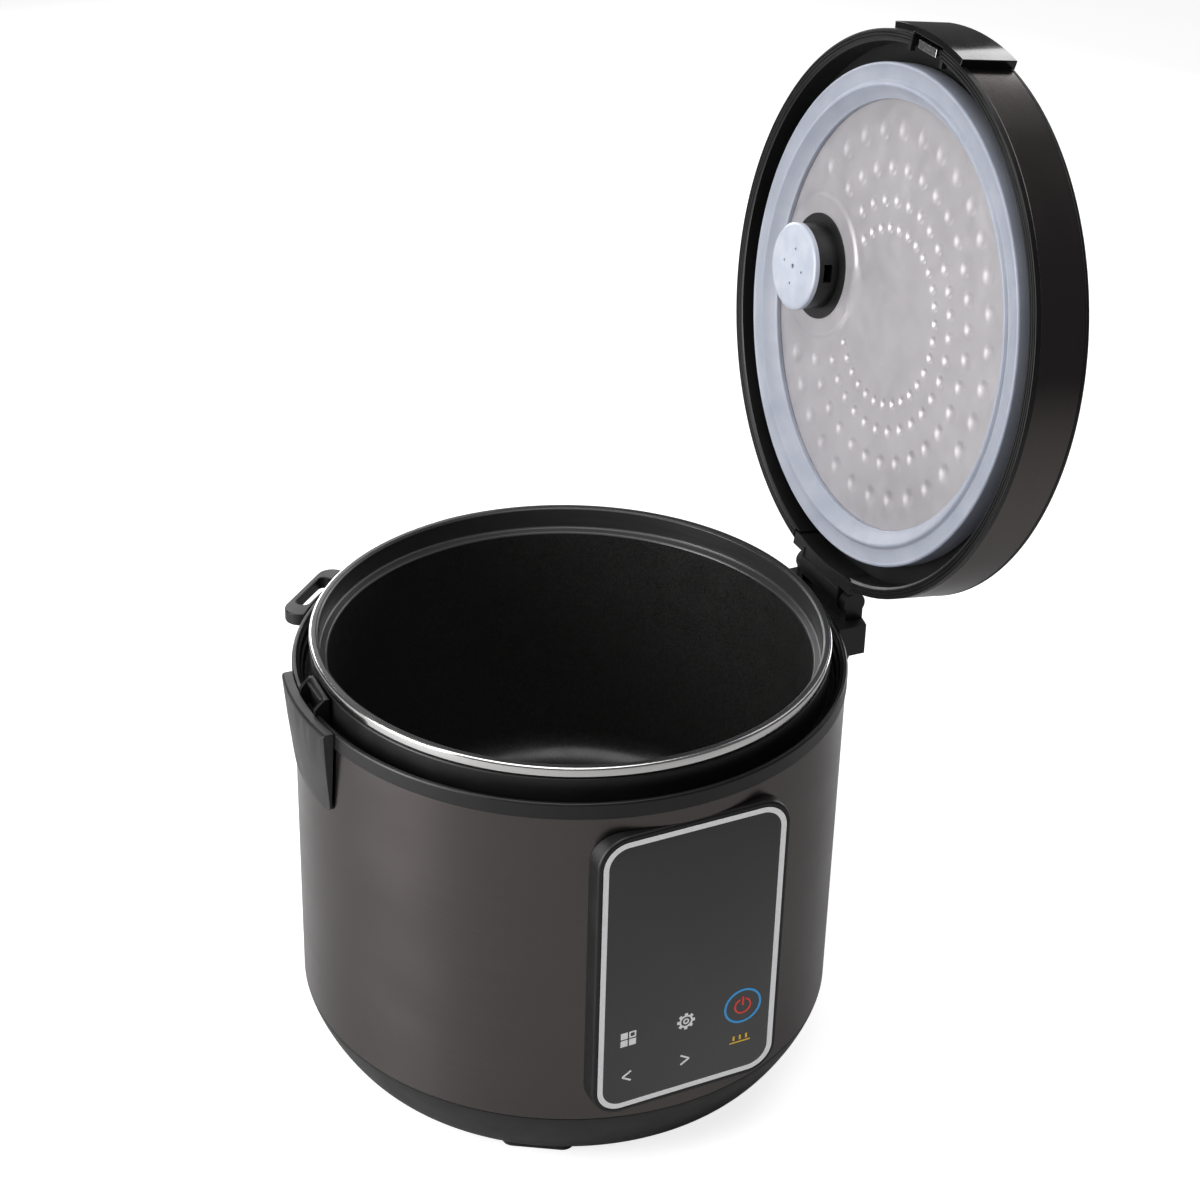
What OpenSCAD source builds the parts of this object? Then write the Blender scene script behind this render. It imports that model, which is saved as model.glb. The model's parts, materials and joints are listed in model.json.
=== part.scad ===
// Electric multi pressure cooker with a side-hinged lid, standing open.
// Origin: centre of the standing plane. The control panel faces -Y, the lid
// hinge is at +X, the lid latch at -X. Lid pieces are drawn closed and swung open.

/* [Body] */
// Radius of the metal shell
shell_r = 135; // [134.5:0.5:136]
// Thickness of the shell's sheet
shell_t = 0.8; // [0.6:0.1:1]
// Height of the shell's lower edge
shell_z0 = 36.6; // [35:0.1:38]
// Height of the shell's upper edge
shell_z1 = 210.2; // [209:0.1:211]
// Radius of the base's lower rim
base_rim_r = 116.5; // [112:0.5:120]
// Height of the rubber feet
foot_h = 4; // [3:0.5:5]
// Distance of the feet from the centre
foot_at_r = 104; // [95:1:106]

/* [Inner pot] */
// Height of the pot's rim
pot_top_z = 232; // [231.5:0.1:232.2]
// Inner radius of the pot's wall
pot_r = 118.5; // [116:0.5:118.5]
// Depth of the pot inside
pot_depth = 150; // [140:1:150]
// Outer radius of the rim's bead
bead_r = 127; // [126.5:0.1:127.2]

/* [Lid] */
// How far the lid stands open, in degrees
lid_open = 97.8; // [60:0.1:97.8]
// Height of the closed lid's lower rim
lid_z = 219.5; // [219.5:0.1:219.8]
// Outer radius of the lid
lid_r = 136.4; // [136:0.1:137]
// Thickness of the lid at its edge
lid_h = 29.4; // [28:0.1:31]
// Rise of the domed cover above the edge
dome_h = 9; // [6:1:12]
// Offset of the steam valve from the lid's centre
valve_y = 68.4; // [66:0.2:70]
// Radius of the valve's inner cap
valve_r = 22; // [20:0.5:22]

/* [Hinge] */
// Distance of the hinge axis from the body's centre
hinge_x = 143.3; // [143:0.1:144]
// Height of the hinge axis
hinge_z = 227.2; // [227:0.1:227.6]
// Radius of the hinge pin
pin_r = 2.5; // [2:0.1:2.6]
// Radial clearance of a running fit
run_gap = 0.05; // [0.02:0.01:0.08]

/* [Control panel] */
// Width of the panel's frame
panel_w = 99; // [98.8:0.1:100]
// Height of the panel's frame
panel_h = 159; // [158.6:0.1:160]
// Distance of the panel's flat front from the centre
panel_y = 135.6; // [135.6:0.05:136]
// Height of the panel's centre
panel_zc = 123.1; // [122.5:0.1:123.5]
// Turn of the panel about the upright axis, as measured, in degrees
panel_turn = 1.8; // [0:0.1:2]

/* [Hidden] */
$fn = 96;

black = [0.07, 0.07, 0.075];
dark_steel = [0.27, 0.25, 0.24];
steel = [0.75, 0.75, 0.76];
green = [0.08, 0.3, 0.14];

// derived places
floor_t = 2.5;
feet_az = [0, 120, -120];
screw_az = [30, 150, 270];
cover_screw_az = [0, 60, 120, 240, 300];
collar_screw_az = [30, 90, 150, 210, 240, 300, 330];
terminal_az = [108, 132];
pot_floor_z = pot_top_z - pot_depth;
lid_top = lid_z + lid_h;
panel_back = shell_r + 0.15;
loop_az = 134;
latch_x = -126;
latch_z = lid_z + 21.5;
bump_r = 140;
pin_places = [[-7, -2], [7, -2], [0, 2]];
bump_half = 12.6;
inlet_zc = 25;
liner_r = 125.2;
liner_z = 50;
plate_z = lid_z + 9;
roof_z = lid_z + 14.1;

// ---------- shared shapes ----------
module tube(r_out, r_in, z0, z1) {
  translate([0, 0, z0]) difference() {
    cylinder(r = r_out, h = z1 - z0);
    translate([0, 0, -1]) cylinder(r = r_in, h = z1 - z0 + 2);
  }
}

module block(x0, x1, y0, y1, z0, z1) {
  translate([x0, y0, z0]) cube([x1 - x0, y1 - y0, z1 - z0]);
}

// a stretch of ring, centred on the direction az
module sector(r0, r1, z0, z1, az, half) {
  rotate([0, 0, az - half]) rotate_extrude(angle = 2 * half)
    translate([r0, z0]) square([r1 - r0, z1 - z0]);
}

module rounded(w, h, r) {
  square([w - 2 * r, h], center = true);
  square([w, h - 2 * r], center = true);
  for (x = [-1, 1], y = [-1, 1])
    translate([x * (w / 2 - r), y * (h / 2 - r)]) circle(r = r);
}

// a cylinder along Y
module rod_y(x, z, y0, y1, r) {
  translate([x, y0, z]) rotate([-90, 0, 0]) cylinder(r = r, h = y1 - y0);
}

// a plate that faces -Y, its outline drawn in X and Z
module facing_front(y_front, t) {
  translate([0, y_front + t, 0]) rotate([90, 0, 0]) linear_extrude(t) children();
}

function unit(v) = v / norm(v);
function tangent(p, i) = unit(p[min(i + 1, len(p) - 1)] - p[max(i - 1, 0)]);

// a round wire of radius r through the points of path, never parallel to Z
module wire(path, r, sides = 6) {
  n = len(path);
  rings = [for (i = [0 : n - 1])
    let (t = tangent(path, i), s = unit(cross(t, [0, 0, 1])), u = cross(s, t))
    for (k = [0 : sides - 1]) path[i] + r * (cos(360 * k / sides) * s + sin(360 * k / sides) * u)];
  walls = [for (i = [0 : n - 2], k = [0 : sides - 1])
    let (a = i * sides + k, b = i * sides + (k + 1) % sides)
    each [[a, b, b + sides], [a, b + sides, a + sides]]];
  start_cap = [for (k = [1 : sides - 2]) [0, k + 1, k]];
  last = (n - 1) * sides;
  end_cap = [for (k = [1 : sides - 2]) [last, last + k, last + k + 1]];
  polyhedron(points = rings, faces = concat(walls, start_cap, end_cap), convexity = 10);
}

function coil(r, z0, z1, turns, steps = 12) =
  [for (i = [0 : turns * steps])
    [r * cos(360 * i / steps), r * sin(360 * i / steps), z0 + (z1 - z0) * i / (turns * steps)]];

module at_lid() {
  translate([hinge_x, 0, hinge_z]) rotate([0, lid_open, 0])
    translate([-hinge_x, 0, -hinge_z]) children();
}

// the control panel's own frame: X across, Z up, 0 at the middle of its height
module at_panel() {
  rotate([0, 0, panel_turn]) translate([0, 0, panel_zc]) children();
}

module at_valve() {
  translate([0, valve_y, 0]) children();
}

// ---------- base ----------
// the bowl's outline from the shell's edge down to the rim, moved inwards by inset
function bowl(inset) =
  [for (s = [0 : 10 : 90])
    [base_rim_r - inset + (shell_r - base_rim_r) * pow(cos(s), 1.6),
     foot_h + inset + (shell_z0 - foot_h - inset) * (1 - pow(sin(s), 1.6))]];
function bowl_inside() = [for (i = [9 : -1 : 1]) bowl(floor_t)[i]];

module base_housing() {
  color(black) difference() {
    rotate_extrude() polygon(concat(
      bowl(0), [[0, foot_h], [0, foot_h + floor_t]], bowl_inside(),
      [[shell_r - 3, shell_z0 + 8], [shell_r - 1.1, shell_z0 + 8], [shell_r - 1.1, shell_z0]]));
    for (a = [0 : 22.5 : 337.5]) rotate([0, 0, a + 11.25]) block(48, 74, -1.6, 1.6, 0, 12);
    for (a = [0 : 45 : 315]) rotate([0, 0, a]) block(22, 38, -1.6, 1.6, 0, 12);
    for (a = feet_az) rotate([0, 0, a]) translate([foot_at_r, 0, 0]) cylinder(r = 4, h = 12);
    for (a = screw_az) rotate([0, 0, a]) translate([86, 0, 0]) cylinder(r = 2.1, h = 12);
    block(-19.3, 19.3, 100, 140, inlet_zc - 13.3, inlet_zc + 11.4);
  }
}

module foot_pads() {
  color([0.12, 0.12, 0.12]) for (a = feet_az) rotate([0, 0, a]) translate([foot_at_r, 0, 0]) {
    linear_extrude(foot_h) rounded(21, 36, 6);
    translate([0, 0, foot_h]) cylinder(r = 3.9, h = 5);
    translate([0, 0, foot_h + floor_t]) cylinder(r = 5.5, h = 1.5);
  }
}

module base_screws() {
  color(steel) for (a = screw_az) rotate([0, 0, a]) translate([86, 0, 0]) {
    translate([0, 0, foot_h - 1.8]) cylinder(r = 3.6, h = 1.8);
    translate([0, 0, foot_h]) cylinder(r = 1.9, h = liner_z - foot_h - 0.1);
  }
}

module outer_shell() {
  color(dark_steel) difference() {
    tube(shell_r, shell_r - shell_t, shell_z0, shell_z1);
    at_panel() facing_front(-panel_y - 4, 40) rounded(96.8, 156.8, 14.2);
  }
}

// ---------- collar ----------
module collar_ring() {
  color(black) difference() {
    rotate_extrude() polygon([
      [124.6, 204], [133.9, 204], [133.9, shell_z1], [135.5, shell_z1], [135.5, 217.7],
      [134.9, 218.5], [133.4, 218.5], [132.7, 217.2], [131.8, 216.4], [131.4, 213.6],
      [130.2, 212.6], [129.7, 209.6], [126.8, 208], [126.8, 225.6], [126.2, 226.2],
      [124.6, 226.2]]);
    block(-138, -127.9, -11.9, 11.9, 208.2, 220);
    for (a = collar_screw_az) rotate([0, 0, a]) translate([128.3, 0, 200]) cylinder(r = 1.6, h = 10);
  }
}

module collar_screws() {
  color(steel) for (a = collar_screw_az) rotate([0, 0, a]) translate([128.3, 0, 0]) {
    translate([0, 0, 192]) cylinder(r = 1.5, h = 15);
    translate([0, 0, 190.5]) cylinder(r = 2.4, h = 1.5);
  }
}

// the striker box that the lid's hook drops into
module latch_catch() {
  side = [[-128, 208.3], [-128, 226], [-130.4, 226], [-135.1, 221.2], [-135.1, 210.4],
          [-133.3, 210.4], [-133.3, 208.3]];
  color(black) difference() {
    translate([0, 11.7, 0]) rotate([90, 0, 0]) linear_extrude(23.4) polygon(side);
    difference() {
      block(-134.7, -130, -9.5, 9.5, 212, 240);
      block(-131.7, -129, -10, 10, 222.6, 224.6);
    }
    block(-140, -134.6, -9.5, 9.5, 216, 240);
  }
}

// side shield: a long tongue down the shell, its two lower corners rounded
shield_foot = 172;
module shield_outline(z_top) {
  intersection() {
    union() {
      polygon([[-31, 225], [31, 225], [27, shield_foot + 6], [-27, shield_foot + 6]]);
      translate([-21, shield_foot]) square([42, 20]);
      for (x = [-21, 21]) translate([x, shield_foot + 6]) circle(r = 6);
    }
    translate([-40, 170]) square([80, z_top - 170]);
  }
}

module side_shield(profile, z_top) {
  intersection() {
    rotate([0, 0, -18]) rotate_extrude(angle = 36) polygon(profile);
    translate([120, 0, 0]) rotate([90, 0, 90]) linear_extrude(40) shield_outline(z_top);
  }
}

module latch_side_shield() {
  color(black) rotate([0, 0, 180]) side_shield([
    [135.7, shield_foot - 2], [136.2, shield_foot - 2], [139.2, 197], [140.5, 212], [141, 217.6],
    [140.6, 218.6], [139.8, 219], [135.7, 219]], 225);
}

module hinge_side_shield() {
  color(black) side_shield([
    [135.7, shield_foot - 2], [136.6, shield_foot - 2], [141, 190], [144, 199], [144, 201.8],
    [135.7, 201.8]], 203);
}

// ---------- hinge ----------
module hinge_housing() {
  color(black) difference() {
    union() {
      intersection() {
        block(120, 152, -33, 33, 202, 218.4);
        tube(150.5, 135.7, 202, 218.4);
      }
      for (y = [-26, 20]) {
        rod_y(hinge_x, hinge_z, y, y + 6, 5.8);
        block(hinge_x - 4.8, hinge_x + 4.8, y, y + 6, 218, hinge_z);
      }
    }
    rod_y(hinge_x, hinge_z, -24.6, 24.6, pin_r + run_gap);
  }
}

module hinge_pin() {
  color(steel) rod_y(hinge_x, hinge_z, -24.5, 24.5, pin_r);
}

module hinge_spring() {
  color(steel) translate([hinge_x, 0, hinge_z]) rotate([90, 0, 0])
    wire(coil(4.3, -8.2, 8.2, 8), 0.7);
}

// loop at the rim that holds a ladle
module ladle_loop() {
  color(black) rotate([0, 0, loop_az]) difference() {
    translate([0, 0, 212]) linear_extrude(6.6) difference() {
      translate([139, 0]) rounded(15.6, 50, 7.7);
      translate([140.4, 0]) rounded(7.2, 30, 3.5);
    }
    translate([0, 0, 190]) cylinder(r = 135.7, h = 40);
  }
}

// ---------- control panel ----------
module panel_frame() {
  color(black) at_panel() difference() {
    union() {
      difference() {
        union() {
          facing_front(-panel_y + 1.6, 12) rounded(panel_w, panel_h, 15.5);
          facing_front(-panel_y, 2) rounded(panel_w - 2.6, panel_h - 2.6, 14.2);
        }
        translate([0, 0, -100]) cylinder(r = panel_back, h = 200);
      }
      facing_front(-panel_y + 0.3, 6.2) rounded(96.4, 156.4, 14);
    }
    facing_front(-panel_y - 1, 3) rounded(94.6, 153.6, 13);
    facing_front(-panel_y - 1, 30) rounded(60, 120, 6);
  }
}

module panel_glass() {
  color([0.03, 0.03, 0.035]) at_panel()
    facing_front(-panel_y + 0.1, 1.8) rounded(94.4, 153.4, 12.9);
}

module printed(t = 0.15) {
  at_panel() facing_front(-panel_y + 0.1 - t, t) children();
}

module panel_border() {
  color("white") printed() difference() {
    rounded(94, 153, 12.8);
    rounded(88.6, 147.6, 10.2);
  }
}

module chevron(direction) {
  for (s = [-1, 1]) rotate(s * 32 * direction) translate([direction * 2.6, 0])
    square([5.4, 0.9], center = true);
}

module icons_white() {
  color("white") printed() {
    translate([-31.5, -36]) {
      for (x = [-1, 1], y = [-1, 1]) translate([2.2 * x, 2.2 * y]) difference() {
        square(3.6, center = true);
        if (x > 0 && y > 0) square(2.2, center = true);
      }
    }
    translate([-1, -35.5]) {
      difference() {
        union() {
          circle(r = 3.6);
          for (a = [0 : 45 : 315]) rotate(a) translate([3.9, 0]) square(1.6, center = true);
        }
        circle(r = 2.7);
      }
      difference() {
        circle(r = 1.6);
        circle(r = 0.9);
      }
    }
    translate([-34, -58.5]) chevron(1);
    translate([1.5, -58.5]) chevron(-1);
  }
}

module power_ring() {
  color([0.1, 0.5, 0.8]) printed() translate([29.5, -36]) difference() {
    circle(r = 10);
    circle(r = 8.9);
  }
}

module power_mark() {
  color([0.8, 0.1, 0.08]) printed() translate([29.5, -36]) {
    difference() {
      circle(r = 4.6);
      circle(r = 3.7);
      translate([-1.5, 0]) square([3, 6]);
    }
    translate([-0.45, 0.4]) square([0.9, 5]);
  }
}

module warm_mark() {
  color([0.85, 0.6, 0.1]) printed() translate([29, -57.5]) {
    square([11, 0.7], center = true);
    for (x = [-3.4, 0, 3.4]) translate([x, 2.6]) square([1, 2.6], center = true);
  }
}

module display_module() {
  color([0.2, 0.2, 0.22]) at_panel() facing_front(-panel_y + 2, 4.4)
    translate([0, 20]) square([52, 26], center = true);
}

module touch_board() {
  color(green) at_panel() facing_front(-panel_y + 6.5, 1.6) square([56, 116], center = true);
}

// ---------- heating ----------
module inner_liner() {
  color(steel) difference() {
    rotate_extrude() polygon([
      [20, liner_z], [liner_r - 2, liner_z], [liner_r, liner_z + 2], [liner_r, 203.9],
      [liner_r - 0.8, 203.9], [liner_r - 0.8, liner_z + 2.3], [liner_r - 2.3, liner_z + 0.8],
      [20, liner_z + 0.8]]);
    for (a = terminal_az) rotate([0, 0, a]) translate([78, 0, 0]) cylinder(r = 5, h = 80);
  }
}

module side_heater() {
  color([0.62, 0.45, 0.3]) difference() {
    tube(liner_r + 2.2, liner_r + 0.2, 132, 158);
    block(-140, -100, -6, 6, 120, 170);
    block(-40, 40, -140, -100, 120, 170);
  }
}

module heating_plate() {
  color([0.7, 0.7, 0.71]) rotate_extrude() polygon([
    [17, 68], [60, 68], [64, 66.2], [91, 66.2], [94, 69.1], [104, 69.1],
    [104, pot_floor_z - 4.6], [101, pot_floor_z - 3], [17, pot_floor_z - 3]]);
}

module heater_tube() {
  color([0.5, 0.49, 0.48]) {
    rotate([0, 0, terminal_az[1]]) rotate_extrude(angle = 360 - terminal_az[1] + terminal_az[0]) translate([78, 62]) circle(r = 4);
    for (a = terminal_az) rotate([0, 0, a]) translate([78, 0, 44]) cylinder(r = 3, h = 15);
  }
}

module plate_posts() {
  color(steel) for (a = [30, 180, 270]) rotate([0, 0, a]) translate([98.5, 0, liner_z + 0.8])
    cylinder(r = 3.5, h = 69.1 - liner_z - 0.8);
}

module sensor_guide() {
  color([0.85, 0.84, 0.8]) difference() {
    union() {
      translate([0, 0, 46.6]) cylinder(r = 26, h = 3.4);
      translate([0, 0, 38]) cylinder(r = 8, h = 20);
    }
    translate([0, 0, 30]) cylinder(r = 5 + run_gap, h = 40);
  }
}

module sensor_spring() {
  color(steel) wire(coil(9.6, 51, 69, 5), 0.8);
}

module sensor_cup() {
  color(steel) difference() {
    union() {
      translate([0, 0, 70.4]) cylinder(r = 15, h = pot_floor_z - 3 - 70.4);
      translate([0, 0, 40]) cylinder(r = 5, h = 31);
    }
    translate([0, 0, 39]) cylinder(r = 2.4, h = 24);
  }
}

module thermal_fuse() {
  color([0.9, 0.9, 0.88]) {
    translate([40, -14, 45]) rotate([-90, 0, 0]) cylinder(r = 3, h = 28);
    block(36, 44, -3, 3, 48, liner_z);
  }
}

// ---------- electrics ----------
module power_board() {
  color(green) block(-46, 46, 36, 88, 17, 18.6);
}

module board_posts() {
  color(black) for (x = [-41, 41], y = [41, 83]) translate([x, y, foot_h + floor_t])
    cylinder(r = 3, h = 17 - foot_h - floor_t);
}

module transformer() {
  color([0.75, 0.65, 0.2]) block(-38, -12, 44, 66, 18.6, 37);
}

module relay() {
  color([0.1, 0.2, 0.5]) block(4, 23, 60, 76, 18.6, 34.6);
}

module capacitor() {
  color([0.15, 0.15, 0.18]) translate([34, 56, 18.6]) cylinder(r = 6, h = 19);
}

module wiring() {
  color([0.6, 0.1, 0.08]) {
    wire([[8, 76.6, 24], [6, 84, 24], [-2, 90, 26], [-12, 90, 32], [-20, 84, 38],
          [-23.5, 78, 41.6], [-24.1, 74.2, 42.4]], 1.3);
    wire([[19, 76.6, 24], [20, 84, 24], [20, 94, 23], [17, 100, 22.6], [8, 105, 22.6]], 1.3);
  }
}

module power_inlet() {
  color(black) difference() {
    block(-19, 19, 106, 134.6, inlet_zc - 13, inlet_zc + 11.2);
    block(-12.3, 12.3, 118, 140, inlet_zc - 9.5, inlet_zc + 8);
    block(-14, 14, 100, 112, inlet_zc - 8, inlet_zc + 6);
    inlet_blades();
  }
}

module inlet_blades() {
  for (p = pin_places)
    block(p[0] - 1, p[0] + 1, 109, 130, inlet_zc + p[1] - 2, inlet_zc + p[1] + 2);
}

module inlet_pins() {
  color(steel) inlet_blades();
}

// ---------- inner pot ----------
function arc(c, r, a0, a1, n) =
  [for (i = [0 : n]) let (a = a0 + (a1 - a0) * i / n) [c[0] + r * cos(a), c[1] + r * sin(a)]];

module inner_pot() {
  out_r = pot_r + 1.5;
  base_z = pot_floor_z - 2.5;
  mouth_r = pot_r + 4;
  color([0.1, 0.1, 0.1]) rotate_extrude() polygon(concat(
    [[0, base_z]],
    arc([out_r - 16, base_z + 16], 16, -90, 0, 6),
    [[out_r, 218.9], [mouth_r + 1.5, 221.4], [mouth_r + 1.5, pot_top_z - 5.5],
     [bead_r - 0.8, pot_top_z - 5.4]],
    arc([bead_r - 1.2, pot_top_z - 4.2], 1.2, -60, 0, 2),
    arc([bead_r - 1.2, pot_top_z - 1.2], 1.2, 0, 90, 3),
    [[mouth_r + 1, pot_top_z], [mouth_r, pot_top_z - 0.8], [mouth_r, 221.2],
     [mouth_r - 0.6, 220.4], [pot_r + 0.5, 219.6], [pot_r, 218.8]],
    arc([pot_r - 14.5, pot_floor_z + 14.5], 14.5, 0, -90, 6),
    [[0, pot_floor_z]]));
}

// ---------- lid ----------
module lid_rim() {
  color(black) at_lid() difference() {
    union() {
      rotate_extrude() polygon([
        [0, roof_z], [130.6, roof_z], [130.6, lid_z + 1.2], [131.4, lid_z + 0.6], [132, lid_z],
        [133.6, lid_z], [133.9, lid_z + 0.4], [134.6, lid_z + 0.4], [135, lid_z],
        [lid_r - 0.5, lid_z], [lid_r, lid_z + 0.6], [lid_r, lid_z + 3], [lid_r - 1, lid_z + 3],
        [lid_r - 1, lid_top - 2.6], [133, lid_top - 2.6], [133, roof_z + 2.6], [0, roof_z + 2.6]]);
      for (y = [-15, 12.4]) block(latch_x - 5, latch_x + 5, y, y + 2.6, roof_z + 2, latch_z + 4);
      for (y = [-15.4, 13.1]) block(-131.5, -127.5, y, y + 2.3, lid_z, lid_z + 2.6);
    }
    block(-145, -128.6, -13, 13, lid_z - 1, lid_top + 2);
    block(128, 145, -29.6, 29.6, lid_z - 1, lid_z + 15);
    at_valve() translate([0, 0, roof_z - 1]) cylinder(r = 19, h = 6);
    rod_y(latch_x, latch_z, -20, 20, 1.5 + run_gap);
    for (a = cover_screw_az) rotate([0, 0, a]) translate([97, 0, roof_z - 1])
      cylinder(r = 1.7, h = 6);
  }
}

module lid_band() {
  color(dark_steel) at_lid() difference() {
    tube(lid_r, lid_r - 0.8, lid_z + 3.1, lid_top - 2.5);
    rotate([0, 0, 180 - bump_half]) rotate_extrude(angle = 2 * bump_half)
      translate([130, lid_z]) square([12, lid_h]);
    block(128, 145, -29.6, 29.6, lid_z - 1, lid_z + 15.2);
  }
}

module lid_trim() {
  color(black) at_lid() difference() {
    rotate_extrude() polygon([
      [130, lid_top - 2.4], [lid_r + 0.1, lid_top - 2.4], [lid_r + 0.1, lid_top - 1],
      [lid_r - 0.8, lid_top], [130, lid_top]]);
    sector(120, 150, lid_top - 10, lid_top + 10, 180, bump_half + 0.1);
  }
}

// height of the domed cover at radius r
function dome(r) = lid_top + dome_h * (1 - pow(r / 130, 2));

module lid_cover() {
  radii = [for (i = [0 : 8]) 130 - 130 * i / 8];
  color(black) at_lid() difference() {
    union() {
      rotate_extrude() polygon(concat(
        [for (r = radii) [r, dome(r)]],
        [for (i = [8 : -1 : 1]) [radii[i], dome(radii[i]) - 2.2]],
        [[127.6, lid_top - 2.4], [127.6, roof_z + 9], [130, roof_z + 9]]));
      for (a = cover_screw_az) rotate([0, 0, a]) translate([97, 0, roof_z + 2.7])
        cylinder(r = 4, h = dome(97) - roof_z - 4);
      at_valve() translate([0, 0, roof_z + 14]) cylinder(r = 22, h = dome(80) - roof_z - 15);
    }
    for (a = cover_screw_az) rotate([0, 0, a]) translate([97, 0, roof_z])
      cylinder(r = 1.55, h = 12);
    at_valve() translate([0, 0, roof_z]) cylinder(r = 19, h = 40);
    block(-132, -101.4, -13.2, 13.2, roof_z + 3, lid_top + 12);
    block(-132, -120, -15.3, 15.3, roof_z + 3, lid_top - 3);
  }
}

module lid_hinge_block() {
  color(black) at_lid() difference() {
    union() {
      block(129, 136, -29.4, 29.4, lid_z + 0.4, lid_z + 14.6);
      block(135, hinge_x, -19.5, 19.5, lid_z + 0.4, lid_z + 14.6);
      rod_y(hinge_x, hinge_z, -19.5, 19.5, 7.1);
    }
    rod_y(hinge_x, hinge_z, -40, 40, pin_r + run_gap);
    rod_y(hinge_x, hinge_z, -9, 9, 5.7);
    translate([0, 0, lid_z - 1]) cylinder(r = 131, h = 30);
    block(132.5, 138, -18, 18, lid_z - 1, lid_z + 1);
  }
}

module latch_housing() {
  color(black) at_lid() difference() {
    union() {
      sector(lid_r + 0.1, bump_r, lid_z, lid_top + 0.6, 180, bump_half);
      sector(lid_r - 1, lid_r + 0.1, lid_z + 3.1, lid_top - 2.4, 180, bump_half);
      sector(130.1, bump_r, lid_top - 2.5, lid_top + 0.6, 180, bump_half);
    }
    block(-136.6, -120, -13, 13, lid_z - 1, lid_top + 2);
  }
}

module latch_pin() {
  color(steel) at_lid() rod_y(latch_x, latch_z, -15, 15, 1.5);
}

module latch_spring() {
  color(steel) at_lid() translate([-110, 0, 0])
    wire(coil(4, roof_z + 3.2, latch_z + 9, 5), 0.5);
}

// a pressed pad on the lid's top, a hub on the pin and an arm down to the hook
module latch_lever() {
  color(black) at_lid() difference() {
    union() {
      block(-127.5, -102.8, -12, 12, latch_z + 9.8, latch_z + 12.4);
      block(-127.5, -124.5, -11.4, 11.4, latch_z, latch_z + 10);
      rod_y(latch_x, latch_z, -11.4, 11.4, 3.4);
      block(-134.6, latch_x, -11, 11, latch_z - 2.2, latch_z + 2.2);
      block(-134.4, -132.4, -9, 9, lid_z + 2.5, latch_z);
    }
    rod_y(latch_x, latch_z, -20, 20, 1.5 + run_gap);
  }
}

module latch_hook() {
  color(steel) at_lid() block(-134.4, -130.4, -8, 8, lid_z + 0.5, lid_z + 2.5);
}

module lid_screws() {
  color(steel) at_lid() for (a = cover_screw_az) rotate([0, 0, a]) translate([97, 0, 0]) {
    translate([0, 0, roof_z - 1.6]) cylinder(r = 3, h = 1.6);
    translate([0, 0, roof_z]) cylinder(r = 1.5, h = 11);
  }
}

module plate_clips() {
  color(steel) at_lid() for (a = [45 : 90 : 315]) rotate([0, 0, a]) translate([110, 0, 0])
    block(-3, 3, -5, 5, plate_z + 1.3, roof_z);
}

module lid_plate() {
  color([0.78, 0.78, 0.79]) at_lid() difference() {
    union() {
      translate([0, 0, plate_z]) cylinder(r = 118, h = 1.2);
      tube(118, 116.9, plate_z, plate_z + 3.6);
    }
    at_valve() translate([0, 0, plate_z - 1]) cylinder(r = 19, h = 4);
  }
}

module lid_gasket() {
  color([0.8, 0.84, 0.92]) at_lid() rotate_extrude() polygon([
    [103.6, plate_z], [103.6, plate_z - 2.4], [105.2, plate_z - 3.2], [108.6, plate_z - 6.6],
    [109.8, plate_z - 7.8], [110.8, plate_z - 8], [111.6, plate_z - 7.2], [112.2, plate_z - 6.2],
    [118.6, plate_z - 6.6], [119.8, plate_z - 7.4], [120.8, plate_z - 6.8], [121, plate_z - 5.6],
    [120.6, plate_z + 4.4], [118.1, plate_z + 4.4], [118.1, plate_z]]);
}

// ---------- steam valve ----------
module valve_body() {
  color(black) at_lid() at_valve() difference() {
    union() {
      translate([0, 0, lid_z - 4]) cylinder(r = valve_r - 0.8, h = plate_z - lid_z + 2.4);
      translate([0, 0, plate_z - 1.6]) cylinder(r = 26.5, h = 1.6);
      translate([0, 0, plate_z - 1]) cylinder(r = 18.6, h = roof_z + 22 - plate_z);
    }
    translate([0, 0, plate_z - 6]) cylinder(r = 15, h = 60);
    translate([0, 0, lid_z - 5]) cylinder(r = 4.1, h = 30);
    for (a = [20, 140, 260]) rotate([0, 0, a]) block(12, 30, -4.5, 4.5, lid_z - 1, lid_z + 3.6);
  }
}

module valve_cap() {
  color([0.75, 0.77, 0.82]) at_lid() at_valve() difference() {
    translate([0, 0, lid_z - 7]) cylinder(r = valve_r, h = 3);
    translate([0, 0, lid_z - 8]) cylinder(r = 1.2, h = 5);
    for (a = [0 : 90 : 270]) rotate([0, 0, a]) translate([9, 0, lid_z - 8]) cylinder(r = 0.7, h = 5);
  }
}

// lifts out of the lid for cleaning
module vent_cap() {
  color(black) at_lid() at_valve() difference() {
    union() {
      translate([0, 0, lid_top + 8.6]) cylinder(r = 25, h = 4.4);
      translate([0, 0, lid_top + 13]) cylinder(r = 22.6, h = 1.6);
      translate([0, 0, plate_z + 2]) cylinder(r = 14.6, h = lid_top + 9 - plate_z - 2);
    }
    translate([0, 0, plate_z]) cylinder(r = 12.6, h = lid_top + 10 - plate_z);
    for (a = [0 : 60 : 300]) rotate([0, 0, a]) translate([8.5, 0, lid_top]) cylinder(r = 1.8, h = 20);
  }
}

module float_pin() {
  color(steel) at_lid() at_valve() {
    translate([0, 0, lid_z - 3.4]) cylinder(r = 4, h = 14);
    translate([0, 0, plate_z - 5.6]) cylinder(r = 6.5, h = 2);
  }
}

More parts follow.
